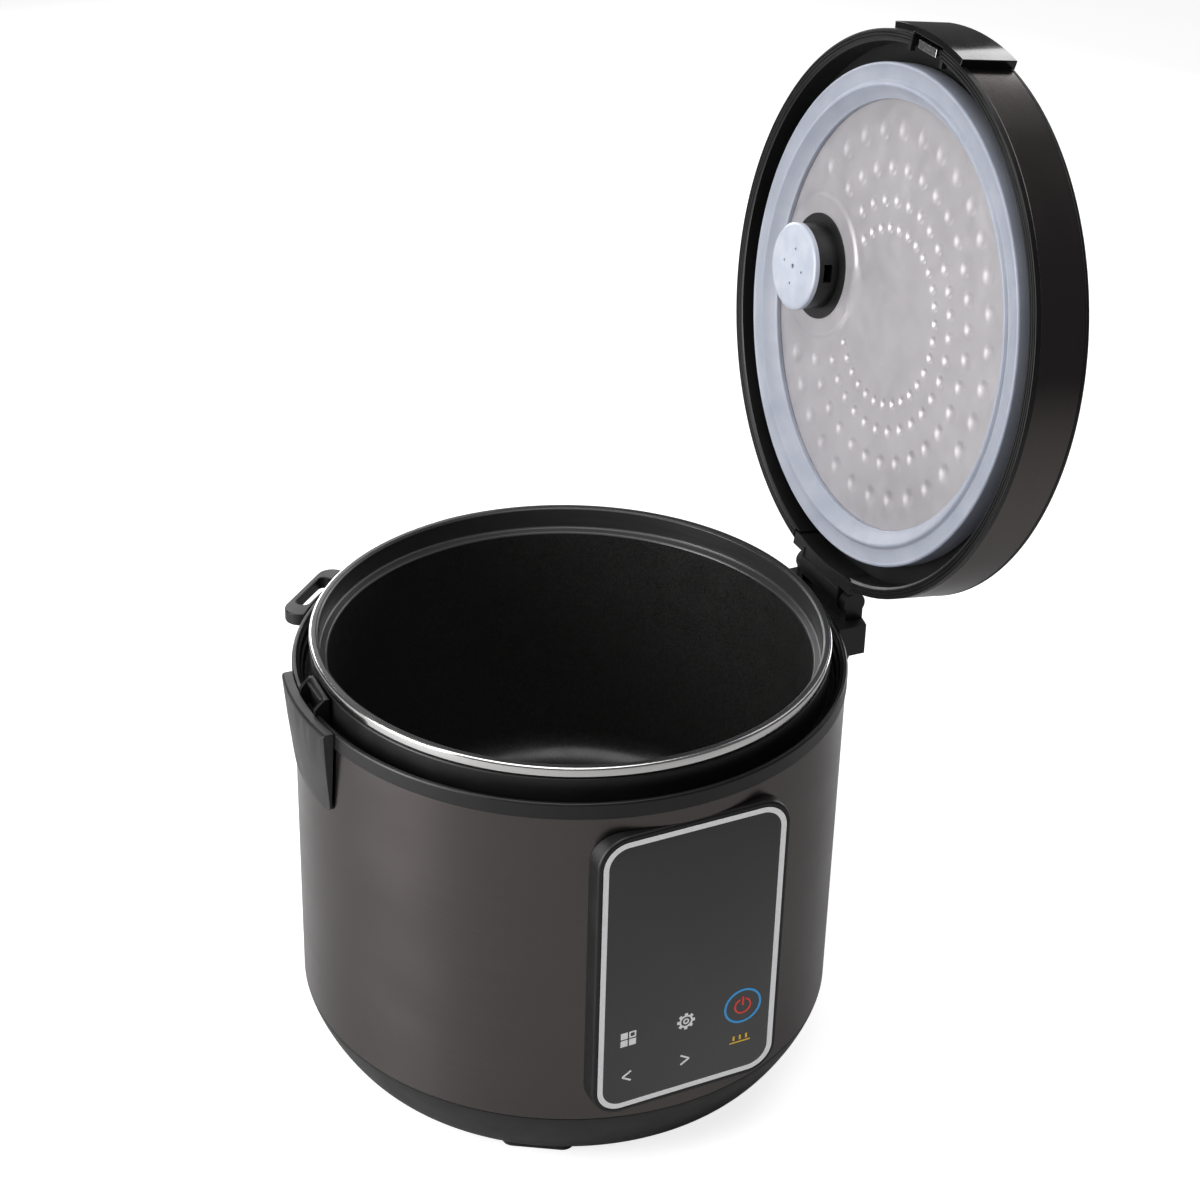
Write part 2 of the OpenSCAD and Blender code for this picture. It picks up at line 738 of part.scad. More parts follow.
base_housing();
foot_pads();
base_screws();
outer_shell();
collar_ring();
collar_screws();
latch_catch();
latch_side_shield();
hinge_side_shield();
hinge_housing();
hinge_pin();
hinge_spring();
ladle_loop();
panel_frame();
panel_glass();
panel_border();
icons_white();
power_ring();
power_mark();
warm_mark();
display_module();
touch_board();
inner_liner();
side_heater();
heating_plate();
heater_tube();
plate_posts();
sensor_guide();
sensor_spring();
sensor_cup();
thermal_fuse();
power_board();
board_posts();
transformer();
relay();
capacitor();
wiring();
power_inlet();
inlet_pins();
inner_pot();
lid_rim();
lid_band();
lid_trim();
lid_cover();
lid_hinge_block();
latch_housing();
latch_pin();
latch_spring();
lid_screws();
plate_clips();
lid_plate();
lid_gasket();
valve_body();
valve_cap();
latch_lever();
latch_hook();
vent_cap();
float_pin();
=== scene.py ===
"""Electric multi pressure cooker with its lid standing open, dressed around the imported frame.

Outlines are in millimetres. Lid pieces are drawn with the lid shut and stand
open through their object's matrix, so that the lid's axis stays their own Z.
"""

import json
import math

import bmesh
import bpy
import numpy as np
from mathutils import Matrix, Vector


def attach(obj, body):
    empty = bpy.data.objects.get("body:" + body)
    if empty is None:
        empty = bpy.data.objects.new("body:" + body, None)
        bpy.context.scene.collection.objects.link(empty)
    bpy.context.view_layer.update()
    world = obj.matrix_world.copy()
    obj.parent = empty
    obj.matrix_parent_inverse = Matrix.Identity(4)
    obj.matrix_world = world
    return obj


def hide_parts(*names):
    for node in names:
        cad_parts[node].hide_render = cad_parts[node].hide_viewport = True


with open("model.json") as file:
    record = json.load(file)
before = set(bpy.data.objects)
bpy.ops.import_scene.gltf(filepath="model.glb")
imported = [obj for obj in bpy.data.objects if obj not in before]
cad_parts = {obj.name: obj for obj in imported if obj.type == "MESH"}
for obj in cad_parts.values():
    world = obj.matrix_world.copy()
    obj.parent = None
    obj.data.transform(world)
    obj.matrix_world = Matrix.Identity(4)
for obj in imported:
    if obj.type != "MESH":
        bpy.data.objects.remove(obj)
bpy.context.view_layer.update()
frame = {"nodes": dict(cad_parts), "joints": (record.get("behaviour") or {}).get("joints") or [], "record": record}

MM = 0.001
TURN_STEPS = 192  # facets in a full turn
NODES = frame["nodes"]
BODY_OF = {n: b for b, members in frame["record"]["behaviour"]["bodies"].items() for n in members}
SLOT_OF = {p["node"]: p["material_slot"] for p in frame["record"]["subparts"]}


# ---------- places taken from the frame ----------
def opened_lid():
    """Matrix that swings a lid piece from shut to the open rest pose."""
    hinge = next(j for j in frame["joints"] if j["name"] == "lid_hinge")
    pivot = Vector(hinge["pos_m"])
    swing = Matrix.Rotation(-math.radians(min(hinge["range_deg"])), 4, Vector(hinge["axis"]))
    return Matrix.Translation(pivot) @ swing @ Matrix.Translation(-pivot)


OPEN = opened_lid()
PANEL_DEGREES = 1.8  # the panel's turn about the upright axis
PANEL_TURN = Matrix.Rotation(math.radians(PANEL_DEGREES), 4, "Z")


def corners(node, shut=False, on_panel=False):
    """Corners of a CAD node in millimetres, with the lid shut or in the panel's own directions."""
    back = Matrix.Identity(4)
    if shut:
        back = OPEN.inverted()
    if on_panel:
        back = PANEL_TURN.inverted()
    points = np.array([back @ v.co for v in NODES[node].data.vertices]) / MM
    return points.min(0), points.max(0)


shell_lo, shell_hi = corners("outer_shell")
SHELL_R = shell_hi[0]
FOOT_H = corners("base_housing")[0][2]
PANEL_LO, PANEL_HI = corners("panel_frame", on_panel=True)
PANEL_Y = PANEL_LO[1]
PANEL_ZC = (PANEL_LO[2] + PANEL_HI[2]) / 2
POT_TOP = corners("inner_pot")[1][2]
POT_BASE = corners("inner_pot")[0][2]
BEAD_R = corners("inner_pot")[1][0]
LID_Z = corners("lid_rim", shut=True)[0][2]
LID_TOP = corners("lid_trim", shut=True)[1][2]
LID_R = corners("lid_band", shut=True)[1][1]
ROOF_Z = corners("plate_clips", shut=True)[1][2]
PLATE_Z = corners("lid_plate", shut=True)[0][2]
BUMP_R = -corners("latch_housing", shut=True)[0][0]
CAP_LO, CAP_HI = corners("valve_cap", shut=True)
VALVE_Y = (CAP_LO[1] + CAP_HI[1]) / 2
VALVE_R = (CAP_HI[1] - CAP_LO[1]) / 2
DOME_R = 130.0
DOME_H = corners("lid_cover", shut=True)[1][2] - LID_TOP
BUMP_HALF = 12.6  # half angle of the latch bump, degrees
LATCH_HALF = 13.0  # half width of the window that the latch's hook stands in
PANEL_POCKET = (94.6, 153.6, 13)  # width, height and corner radius of the glass's pocket
PANEL_PLUG = (96.4, 156.4, 14)  # the part of the surround that fills the shell's window
SHELL_WINDOW = (96.8, 156.8, 14.2)
PANEL_OPENING = (60, 120, 6)  # the hole behind the glass for the display and its board
SURROUND_GAP = 0.15  # radial gap between the surround and the shell


# ---------- mesh tools ----------
def mesh_object(name, points, faces):
    """A clean mesh from points in millimetres, smooth across shallow angles."""
    mesh = bpy.data.meshes.new(name)
    mesh.from_pydata([tuple(c * MM for c in p) for p in points], [], faces)
    obj = bpy.data.objects.new(name, mesh)
    bpy.context.scene.collection.objects.link(obj)
    tidy(obj)
    return obj


def tidy(obj, sharp=32):
    work = bmesh.new()
    work.from_mesh(obj.data)
    bmesh.ops.remove_doubles(work, verts=work.verts, dist=2e-6)
    bmesh.ops.dissolve_degenerate(work, edges=work.edges, dist=1e-6)
    bmesh.ops.recalc_face_normals(work, faces=work.faces)
    for face in work.faces:
        face.smooth = True
    work.to_mesh(obj.data)
    work.free()
    obj.data.set_sharp_from_angle(angle=math.radians(sharp))


def lathe(name, outline, turn=360.0, start=0.0):
    """A closed outline of (radius, height) turned about Z, with end caps if it isn't a full turn."""
    full = turn > 359.9
    steps = max(8, round(TURN_STEPS * turn / 360))
    angles = [math.radians(start + turn * i / steps) for i in range(steps if full else steps + 1)]
    points = [(r * math.cos(a), r * math.sin(a), z) for a in angles for r, z in outline]
    n = len(outline)
    faces = []
    for i in range(steps):
        j = (i + 1) % len(angles)
        for k in range(n):
            m = (k + 1) % n
            if outline[k][0] > 1e-6 or outline[m][0] > 1e-6:
                faces.append((i * n + k, j * n + k, j * n + m, i * n + m))
    if not full:
        faces.append(tuple(range(n)))
        faces.append(tuple(reversed(range(steps * n, steps * n + n))))
    return mesh_object(name, points, faces)


def loft(name, rings, wrap=False):
    """Skin over rings that have the same number of points, closed by caps or onto the first ring."""
    n = len(rings[0])
    faces = []
    for i in range(len(rings) if wrap else len(rings) - 1):
        j = (i + 1) % len(rings)
        for k in range(n):
            m = (k + 1) % n
            faces.append((i * n + k, i * n + m, j * n + m, j * n + k))
    if not wrap:
        faces.append(tuple(range(n)))
        faces.append(tuple(reversed(range((len(rings) - 1) * n, len(rings) * n))))
    return mesh_object(name, [p for ring in rings for p in ring], faces)


def arc(centre, radius, first, last, steps):
    """Points on a circle from the angle first to the angle last, in degrees."""
    angles = [math.radians(first + (last - first) * k / steps) for k in range(steps + 1)]
    return [(centre[0] + radius * math.cos(a), centre[1] + radius * math.sin(a)) for a in angles]


def rounded_ring(width, height, radius, steps=12):
    """Points (x, z) of a rounded rectangle about the panel's centre, always the same number."""
    quarters = ((1, 1, 0), (-1, 1, 90), (-1, -1, 180), (1, -1, 270))
    ring = []
    for side_x, side_z, first in quarters:
        for k in range(steps + 1):
            angle = math.radians(first + 90 * k / steps)
            ring.append((side_x * (width / 2 - radius) + radius * math.cos(angle),
                         side_z * (height / 2 - radius) + radius * math.sin(angle)))
    return ring


def box_tool(x0, x1, y0, y1, z0, z1):
    points = [(x, y, z) for x in (x0, x1) for y in (y0, y1) for z in (z0, z1)]
    faces = [(0, 1, 3, 2), (4, 6, 7, 5), (0, 4, 5, 1), (2, 3, 7, 6), (0, 2, 6, 4), (1, 5, 7, 3)]
    return mesh_object("tool", points, faces)


def drum_tool(x, y, z0, z1, radius, steps=64):
    ring = [(x + radius * math.cos(2 * math.pi * k / steps),
             y + radius * math.sin(2 * math.pi * k / steps)) for k in range(steps)]
    return loft("tool", [[(px, py, z) for px, py in ring] for z in (z0, z1)])


def turned(tool, degrees, about=(0, 0)):
    """The same tool turned about a vertical line through about."""
    centre = Vector((about[0] * MM, about[1] * MM, 0))
    spin = Matrix.Rotation(math.radians(degrees), 4, "Z")
    tool.data.transform(Matrix.Translation(centre) @ spin @ Matrix.Translation(-centre))
    return tool


def bake_modifiers(obj):
    graph = bpy.context.evaluated_depsgraph_get()
    graph.update()
    mesh = bpy.data.meshes.new_from_object(obj.evaluated_get(graph))
    obj.modifiers.clear()
    obj.data = mesh


def cut(obj, *tools, operation="DIFFERENCE"):
    """Takes each tool out of obj, or joins it on with UNION, and deletes the tool."""
    for tool in tools:
        step = obj.modifiers.new("cut", "BOOLEAN")
        step.operation = operation
        step.solver = "EXACT"
        step.object = tool
        bake_modifiers(obj)
        bpy.data.objects.remove(tool)
    tidy(obj)
    return obj


def soften(obj, width, angle=35, segments=2):
    """Rounds every edge sharper than angle by width millimetres."""
    step = obj.modifiers.new("soften", "BEVEL")
    step.limit_method = "ANGLE"
    step.angle_limit = math.radians(angle)
    step.width = width * MM
    step.segments = segments
    step.use_clamp_overlap = True
    step.harden_normals = True
    return obj


# ---------- material tools ----------
def surface_of(name, colour, roughness, metallic=0.0):
    mat = bpy.data.materials.new(name)
    mat.use_nodes = True
    surface = mat.node_tree.nodes["Principled BSDF"]
    surface.inputs["Base Color"].default_value = (*colour, 1.0)
    surface.inputs["Roughness"].default_value = roughness
    surface.inputs["Metallic"].default_value = metallic
    return mat, surface


def link(mat, source, target):
    mat.node_tree.links.new(source, target)


def noise(mat, speck, stretch=(1, 1, 1), detail=2.0):
    """Noise in the piece's own coordinates, with specks about speck millimetres wide."""
    nodes = mat.node_tree.nodes
    place = nodes.new("ShaderNodeTexCoord")
    scale = nodes.new("ShaderNodeMapping")
    scale.inputs["Scale"].default_value = stretch
    made = nodes.new("ShaderNodeTexNoise")
    made.inputs["Scale"].default_value = 1 / (speck * MM)
    made.inputs["Detail"].default_value = detail
    link(mat, place.outputs["Object"], scale.inputs["Vector"])
    link(mat, scale.outputs["Vector"], made.inputs["Vector"])
    return made.outputs["Fac"]


def spread(mat, source, low, high, target):
    """Drives a socket between low and high with a noise."""
    made = mat.node_tree.nodes.new("ShaderNodeMapRange")
    made.inputs["From Min"].default_value = 0.3
    made.inputs["From Max"].default_value = 0.7
    made.inputs["To Min"].default_value = low
    made.inputs["To Max"].default_value = high
    link(mat, source, made.inputs["Value"])
    link(mat, made.outputs["Result"], target)


def tint(mat, source, dark, light, target):
    """Drives a colour between dark and light with a noise."""
    made = mat.node_tree.nodes.new("ShaderNodeValToRGB")
    made.color_ramp.elements[0].position = 0.3
    made.color_ramp.elements[0].color = (*dark, 1.0)
    made.color_ramp.elements[1].position = 0.7
    made.color_ramp.elements[1].color = (*light, 1.0)
    link(mat, source, made.inputs["Fac"])
    link(mat, made.outputs["Color"], target)


def relief(mat, surface, source, depth, strength=1.0):
    """Bump from a noise, depth millimetres from its lowest to its highest."""
    made = mat.node_tree.nodes.new("ShaderNodeBump")
    made.inputs["Strength"].default_value = strength
    made.inputs["Distance"].default_value = depth * MM
    link(mat, source, made.inputs["Height"])
    link(mat, made.outputs["Normal"], surface.inputs["Normal"])


def shaded(colour, factor):
    return tuple(c * factor for c in colour)


def moulded(name, colour, roughness, speck, depth, coat=0.0):
    """Moulded plastic: spark-eroded grain, slow changes of sheen and a little colour drift."""
    mat, surface = surface_of(name, colour, roughness)
    tint(mat, noise(mat, 30, detail=3), shaded(colour, 0.85), shaded(colour, 1.15),
         surface.inputs["Base Color"])
    spread(mat, noise(mat, 18, detail=4), roughness - 0.05, roughness + 0.05, surface.inputs["Roughness"])
    relief(mat, surface, noise(mat, speck), depth, 0.5)
    surface.inputs["Coat Weight"].default_value = coat
    surface.inputs["Coat Roughness"].default_value = 0.05
    return mat


# ---------- materials, one function for each of the record's slots ----------
def black_plastic():
    return moulded("black_plastic", (0.006, 0.0058, 0.006), 0.4, 0.5, 0.02)


def shield_plastic():
    return moulded("shield_plastic", (0.014, 0.0135, 0.014), 0.36, 0.4, 0.012)


def gloss_black():
    return moulded("gloss_black", (0.005, 0.005, 0.0053), 0.14, 6, 0.01, coat=0.25)


def rubber():
    return moulded("rubber", (0.015, 0.015, 0.015), 0.75, 0.35, 0.03)


def dark_steel():
    """Dark stainless sheet, brushed round the body."""
    colour = (0.12, 0.108, 0.105)
    mat, surface = surface_of("dark_steel", colour, 0.24, 1.0)
    brush = noise(mat, 60, stretch=(1, 1, 400), detail=3)
    cloud = noise(mat, 60, stretch=(1, 1, 2), detail=3)
    tint(mat, brush, shaded(colour, 0.93), shaded(colour, 1.07), surface.inputs["Base Color"])
    spread(mat, cloud, 0.21, 0.27, surface.inputs["Roughness"])
    relief(mat, surface, brush, 0.004, 0.15)
    surface.inputs["Anisotropic"].default_value = 0.75
    surface.inputs["Anisotropic Rotation"].default_value = 0.25
    along = mat.node_tree.nodes.new("ShaderNodeTangent")
    along.direction_type = "RADIAL"
    along.axis = "Z"
    link(mat, along.outputs["Tangent"], surface.inputs["Tangent"])
    return mat


def steel():
    mat, surface = surface_of("steel", (0.62, 0.61, 0.6), 0.22, 1.0)
    tint(mat, noise(mat, 4, detail=4), (0.55, 0.54, 0.53), (0.68, 0.67, 0.66), surface.inputs["Base Color"])
    spread(mat, noise(mat, 1.5, detail=4), 0.16, 0.3, surface.inputs["Roughness"])
    return mat


def aluminium():
    """Satin anodised sheet with a fine even tooth."""
    mat, surface = surface_of("aluminium", (0.52, 0.5, 0.52), 0.44, 0.6)
    tint(mat, noise(mat, 25, detail=3), (0.49, 0.47, 0.49), (0.55, 0.53, 0.55), surface.inputs["Base Color"])
    spread(mat, noise(mat, 9, detail=5), 0.4, 0.5, surface.inputs["Roughness"])
    relief(mat, surface, noise(mat, 0.35), 0.01, 0.3)
    return mat


def panel_glass():
    """Smoked glass over black print."""
    mat, surface = surface_of("panel_glass", (0.012, 0.0115, 0.012), 0.16)
    spread(mat, noise(mat, 12, detail=4), 0.13, 0.2, surface.inputs["Roughness"])
    relief(mat, surface, noise(mat, 20), 0.01, 0.15)
    surface.inputs["Coat Weight"].default_value = 0.8
    surface.inputs["Coat Roughness"].default_value = 0.08
    return mat


def printed(name, colour):
    """Screen print: an even ink with a faint mottle, plus a painted glow from a weak emission of the ink's own
    colour.
    """
    mat, surface = surface_of(name, colour, 0.35)
    tint(mat, noise(mat, 0.6, detail=3), shaded(colour, 0.9), colour, surface.inputs["Base Color"])
    # Painted glow: the ink is given a weak emission of its own colour, though it is no lamp.
    tint(mat, noise(mat, 0.6, detail=3), shaded(colour, 0.9), colour, surface.inputs["Emission Color"])
    surface.inputs["Emission Strength"].default_value = 0.25
    return mat


def white_print():
    return printed("white_print", (0.85, 0.85, 0.86))


def blue_print():
    return printed("blue_print", (0.05, 0.35, 0.75))


def red_print():
    return printed("red_print", (0.75, 0.06, 0.04))


def amber_print():
    return printed("amber_print", (0.8, 0.5, 0.05))


def circuit_board():
    """Green solder mask with paler tracks under it."""
    mat, surface = surface_of("circuit_board", (0.01, 0.12, 0.04), 0.35)
    tint(mat, noise(mat, 3, stretch=(1, 3, 1), detail=0), (0.008, 0.09, 0.03), (0.02, 0.2, 0.07),
         surface.inputs["Base Color"])
    relief(mat, surface, noise(mat, 3, stretch=(1, 3, 1), detail=0), 0.05, 0.3)
    return mat


def ceramic():
    return moulded("ceramic", (0.72, 0.7, 0.64), 0.6, 0.3, 0.02)


def mica():
    return moulded("mica", (0.35, 0.24, 0.14), 0.3, 2, 0.05)


def yellow_tape():
    return moulded("yellow_tape", (0.6, 0.45, 0.05), 0.35, 3, 0.05)


def relay_blue():
    return moulded("relay_blue", (0.02, 0.09, 0.35), 0.3, 0.6, 0.01)


def capacitor_sleeve():
    return moulded("capacitor_sleeve", (0.02, 0.025, 0.06), 0.25, 2, 0.02)


def red_wire():
    return moulded("red_wire", (0.4, 0.02, 0.015), 0.4, 1, 0.02)


def pot_coating():
    """Black non-stick coating with fine pale flecks."""
    mat, surface = surface_of("pot_coating", (0.015, 0.015, 0.015), 0.35)
    tint(mat, noise(mat, 0.8, detail=2), (0.006, 0.006, 0.006), (0.03, 0.03, 0.029),
         surface.inputs["Base Color"])
    spread(mat, noise(mat, 14, detail=3), 0.28, 0.4, surface.inputs["Roughness"])
    relief(mat, surface, noise(mat, 0.5), 0.02, 0.4)
    return mat


def silicone():
    """Translucent bluish rubber with a soft bloom."""
    mat, surface = surface_of("silicone", (0.33, 0.35, 0.41), 0.42)
    tint(mat, noise(mat, 22, detail=3), (0.3, 0.32, 0.38), (0.36, 0.38, 0.44), surface.inputs["Base Color"])
    spread(mat, noise(mat, 8, detail=4), 0.36, 0.5, surface.inputs["Roughness"])
    surface.inputs["Subsurface Weight"].default_value = 0.35
    surface.inputs["Subsurface Radius"].default_value = (0.004, 0.005, 0.007)
    surface.inputs["Subsurface Scale"].default_value = 0.6
    return mat


def clear_cap():
    """Milky translucent plastic."""
    mat, surface = surface_of("clear_cap", (0.5, 0.53, 0.6), 0.25)
    tint(mat, noise(mat, 12, detail=3), (0.44, 0.47, 0.55), (0.54, 0.57, 0.64), surface.inputs["Base Color"])
    relief(mat, surface, noise(mat, 5), 0.02, 0.2)
    surface.inputs["Subsurface Weight"].default_value = 0.3
    surface.inputs["Subsurface Radius"].default_value = (0.003, 0.004, 0.005)
    surface.inputs["Subsurface Scale"].default_value = 0.5
    return mat


def polished_rim():
    """Bare aluminium turned bright at the pot's rim."""
    mat, surface = surface_of("polished_rim", (0.82, 0.81, 0.8), 0.14, 1.0)
    turning = noise(mat, 30, stretch=(1, 1, 60), detail=3)
    spread(mat, turning, 0.1, 0.2, surface.inputs["Roughness"])
    relief(mat, surface, turning, 0.01, 0.15)
    return mat


def pot_ledge():
    """Grey machined step inside the pot's mouth."""
    mat, surface = surface_of("pot_ledge", (0.08, 0.08, 0.082), 0.38, 0.7)
    spread(mat, noise(mat, 30, stretch=(1, 1, 40), detail=3), 0.32, 0.44, surface.inputs["Roughness"])
    return mat


MATERIALS = {make.__name__: make for make in (
    black_plastic, gloss_black, shield_plastic, rubber, dark_steel, steel, aluminium, panel_glass,
    white_print, blue_print, red_print, amber_print, circuit_board, ceramic, mica, yellow_tape,
    relay_blue, capacitor_sleeve, red_wire, pot_coating, silicone, clear_cap)}
made_materials = {}


def finish_of(slot):
    """The one material of a slot, made the first time it is asked for."""
    if slot not in made_materials:
        made_materials[slot] = MATERIALS[slot]()
    return made_materials[slot]


def place(obj, *nodes, round_by=0.0, segments=2):
    """Gives a piece its soft edges, finish and body, and hides the CAD nodes it stands for."""
    body = BODY_OF[nodes[0]]
    if round_by:
        soften(obj, round_by, segments=segments)
    if not obj.data.materials:
        obj.data.materials.append(finish_of(SLOT_OF[nodes[0]]))
    if body not in ("base", "pot", "sensor") and not obj.get("drawn_open"):
        obj.matrix_world = OPEN
    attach(obj, body)
    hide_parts(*nodes)
    return obj


# ---------- base ----------
def bowl(inset, steps=24):
    """Outline of the base bowl from the shell's edge down to the rim, moved inwards by inset."""
    rim_r = 116.5
    low = FOOT_H + inset
    turn = [math.radians(90 * k / steps) for k in range(steps + 1)]
    return [(rim_r - inset + (SHELL_R - rim_r) * math.cos(a) ** 1.6 if k < steps else rim_r - inset,
             low + (shell_lo[2] - low) * (1 - math.sin(a) ** 1.6)) for k, a in enumerate(turn)]


def make_base():
    floor = 2.5
    outline = bowl(0) + [(0, FOOT_H), (0, FOOT_H + floor)] + bowl(floor)[:0:-1]
    outline += [(SHELL_R - 3, shell_lo[2] + 8), (SHELL_R - 1.1, shell_lo[2] + 8),
                (SHELL_R - 1.1, shell_lo[2])]
    base = lathe("base_bowl", outline)
    tools = [turned(box_tool(48, 74, -1.6, 1.6, 0, 12), 22.5 * k + 11.25) for k in range(16)]
    tools += [turned(box_tool(22, 38, -1.6, 1.6, 0, 12), 45 * k) for k in range(8)]
    inlet_lo, inlet_hi = corners("power_inlet")
    tools.append(box_tool(inlet_lo[0] - 0.3, inlet_hi[0] + 0.3, 100, 140,
                          inlet_lo[2] - 0.3, inlet_hi[2] + 0.2))
    cut(base, *tools)
    place(base, "base_housing", round_by=0.3)


def make_shell():
    thick = 0.8
    hem = 0.4
    above = 203.6
    below = 42.8
    outline = [(SHELL_R, shell_lo[2] + hem), (SHELL_R, below), (SHELL_R, above), (SHELL_R, shell_hi[2]),
               (SHELL_R - thick, shell_hi[2]), (SHELL_R - thick, above), (SHELL_R - thick, below),
               (SHELL_R - thick, shell_lo[2]), (SHELL_R - hem, shell_lo[2])]
    window = loft("tool", [panel_ring(*SHELL_WINDOW, y) for y in (-150, -110)])
    window.data.transform(PANEL_TURN)
    place(cut(lathe("shell", outline), window), "outer_shell")


def make_collar():
    """Sloping collar between the shell and the pot, with its catch gap at -X."""
    top = shell_hi[2]
    outline = [(124.6, top - 6.2), (133.9, top - 6.2), (133.9, top), (135.5, top), (135.5, top + 7.5),
               (134.9, top + 8.3), (133.4, top + 8.3), (132.7, top + 7), (131.8, top + 6.2),
               (131.4, top + 3.4), (130.2, top + 2.4), (129.7, top - 0.6), (126.8, top - 2.2),
               (126.8, top + 15.4), (126.2, top + 16), (124.6, top + 16)]
    collar = cut(lathe("collar", outline), box_tool(-138, -127.9, -11.9, 11.9, top - 2, top + 9.8))
    place(collar, "collar_ring", round_by=0.35)


# ---------- control panel ----------
def panel_ring(width, height, radius, y, on_shell=False):
    """A rounded rectangle on the panel at depth y, on the shell where y is None or reaches into it."""
    behind = SHELL_R + SURROUND_GAP
    points = []
    for x, z in rounded_ring(width, height, radius):
        shell_y = -math.sqrt(behind ** 2 - x * x)
        if y is None:
            depth = shell_y
        elif on_shell:
            depth = min(y, shell_y - 0.02)
        else:
            depth = y
        points.append((x, depth, PANEL_ZC + z))
    return points


def make_panel_frame():
    """Surround with a rounded outer edge, a pocket for the glass and a plug through the shell."""
    width = PANEL_HI[0] - PANEL_LO[0]
    height = PANEL_HI[2] - PANEL_LO[2]
    corner = 15.5
    fillet = 1.4
    pocket_floor = PANEL_Y + 2
    plug_back = PANEL_Y + 6.5
    lip = 0.25
    rings = [panel_ring(*PANEL_POCKET, pocket_floor), panel_ring(*PANEL_POCKET, PANEL_Y + lip),
             panel_ring(PANEL_POCKET[0] + 2 * lip, PANEL_POCKET[1] + 2 * lip,
                        PANEL_POCKET[2] + lip, PANEL_Y)]
    for k in range(7):
        angle = math.radians(15 * k)
        less = 2 * fillet * (1 - math.sin(angle))
        depth = fillet * (1 - math.cos(angle))
        rings.append(panel_ring(width - less, height - less, corner - less / 2, PANEL_Y + depth,
                                on_shell=True))
    rings += [panel_ring(width, height, corner, None), panel_ring(*PANEL_PLUG, None),
              panel_ring(*PANEL_PLUG, plug_back), panel_ring(*PANEL_OPENING, plug_back),
              panel_ring(*PANEL_OPENING, pocket_floor)]
    surround = loft("panel_surround", rings, wrap=True)
    surround.matrix_world = PANEL_TURN
    place(surround, "panel_frame")


def make_glass():
    glass_lo, glass_hi = corners("panel_glass", on_panel=True)
    width = glass_hi[0] - glass_lo[0]
    height = glass_hi[2] - glass_lo[2]
    edge = 0.3
    rings = [panel_ring(width - 2 * edge, height - 2 * edge, 12.6, glass_lo[1]),
             panel_ring(width - 0.6 * edge, height - 0.6 * edge, 12.8, glass_lo[1] + 0.3 * edge),
             panel_ring(width, height, 12.9, glass_lo[1] + edge),
             panel_ring(width, height, 12.9, glass_hi[1])]
    glass = loft("touch_glass", rings)
    glass.matrix_world = PANEL_TURN
    place(glass, "panel_glass")


# ---------- inner pot ----------
def make_pot():
    """Coated pot with a bare polished rim and a grey step inside its mouth."""
    inside = 118.5
    outside = inside + 1.5
    mouth = inside + 4
    rim = POT_TOP
    floor = POT_BASE + 2.5
    bead = 1.2
    outline = [(0, POT_BASE)]
    outline += arc((outside - 16, POT_BASE + 16), 16, -90, 0, 10)
    outline += [(outside, 218.9), (mouth + 1.5, 221.4), (mouth + 1.5, rim - 5.5), (BEAD_R - bead, rim - 5.4)]
    outline += arc((BEAD_R - bead, rim - 4.2), bead, -60, 0, 4)
    outline += arc((BEAD_R - bead, rim - bead), bead, 0, 90, 5)
    outline += [(mouth + 1, rim), (mouth, rim - 0.8), (mouth, 221.2), (mouth - 0.6, 220.4),
                (inside + 0.5, 219.6), (inside, 218.8)]
    outline += arc((inside - 14.5, floor + 14.5), 14.5, 0, -90, 10)
    outline += [(0, floor)]
    pot = lathe("cooking_pot", outline)
    pot.data.materials.append(finish_of("pot_coating"))
    pot.data.materials.append(polished_rim())
    pot.data.materials.append(pot_ledge())
    for face in pot.data.polygons:
        x, y, z = face.center / MM
        radius = math.hypot(x, y)
        if radius > BEAD_R - 1.3 and z > rim - 6:
            face.material_index = 1
        elif 218 < z < rim - 0.5 and radius > inside - 1:
            face.material_index = 2
    place(pot, "inner_pot", round_by=0.3)


# ---------- lid ----------
def dome(radius):
    """Height of the lid's cover."""
    return LID_TOP + DOME_H * (1 - (radius / DOME_R) ** 2)


def latch_window(top):
    return box_tool(-145, -128.6, -LATCH_HALF, LATCH_HALF, LID_Z - 1, top)


def hinge_notch():
    return box_tool(128, 145, -29.6, 29.6, LID_Z - 1, LID_Z + 15)


def make_rim():
    """Lid moulding: the outer ring with its fine ridges, the wall and the roof behind the plate."""
    ridge = 0.5
    ring = [(130.6, ROOF_Z), (130.6, LID_Z + 1.2), (131.4, LID_Z + 0.6)]
    for start in (131.8, 133.3, 134.8):
        ring += [(start, LID_Z), (start + 0.9, LID_Z),
                 (start + 1.1, LID_Z + ridge), (start + 1.4, LID_Z + ridge)]
    ring[-1] = (LID_R, LID_Z + 0.6)
    outline = [(0, ROOF_Z)] + ring + [
        (LID_R, LID_Z + 3), (LID_R - 1, LID_Z + 3), (LID_R - 1, LID_TOP - 2.6), (133, LID_TOP - 2.6),
        (133, ROOF_Z + 2.6), (0, ROOF_Z + 2.6)]
    rim = lathe("lid_moulding", outline)
    lands = [box_tool(-131.5, -127.5, y, y + 2.3, LID_Z, LID_Z + 2.6) for y in (-15.4, 13.1)]
    cut(rim, *lands, operation="UNION")
    cut(rim, latch_window(LID_TOP + 2), hinge_notch(), drum_tool(0, VALVE_Y, ROOF_Z - 1, ROOF_Z + 5, 19))
    place(rim, "lid_rim", round_by=0.15)


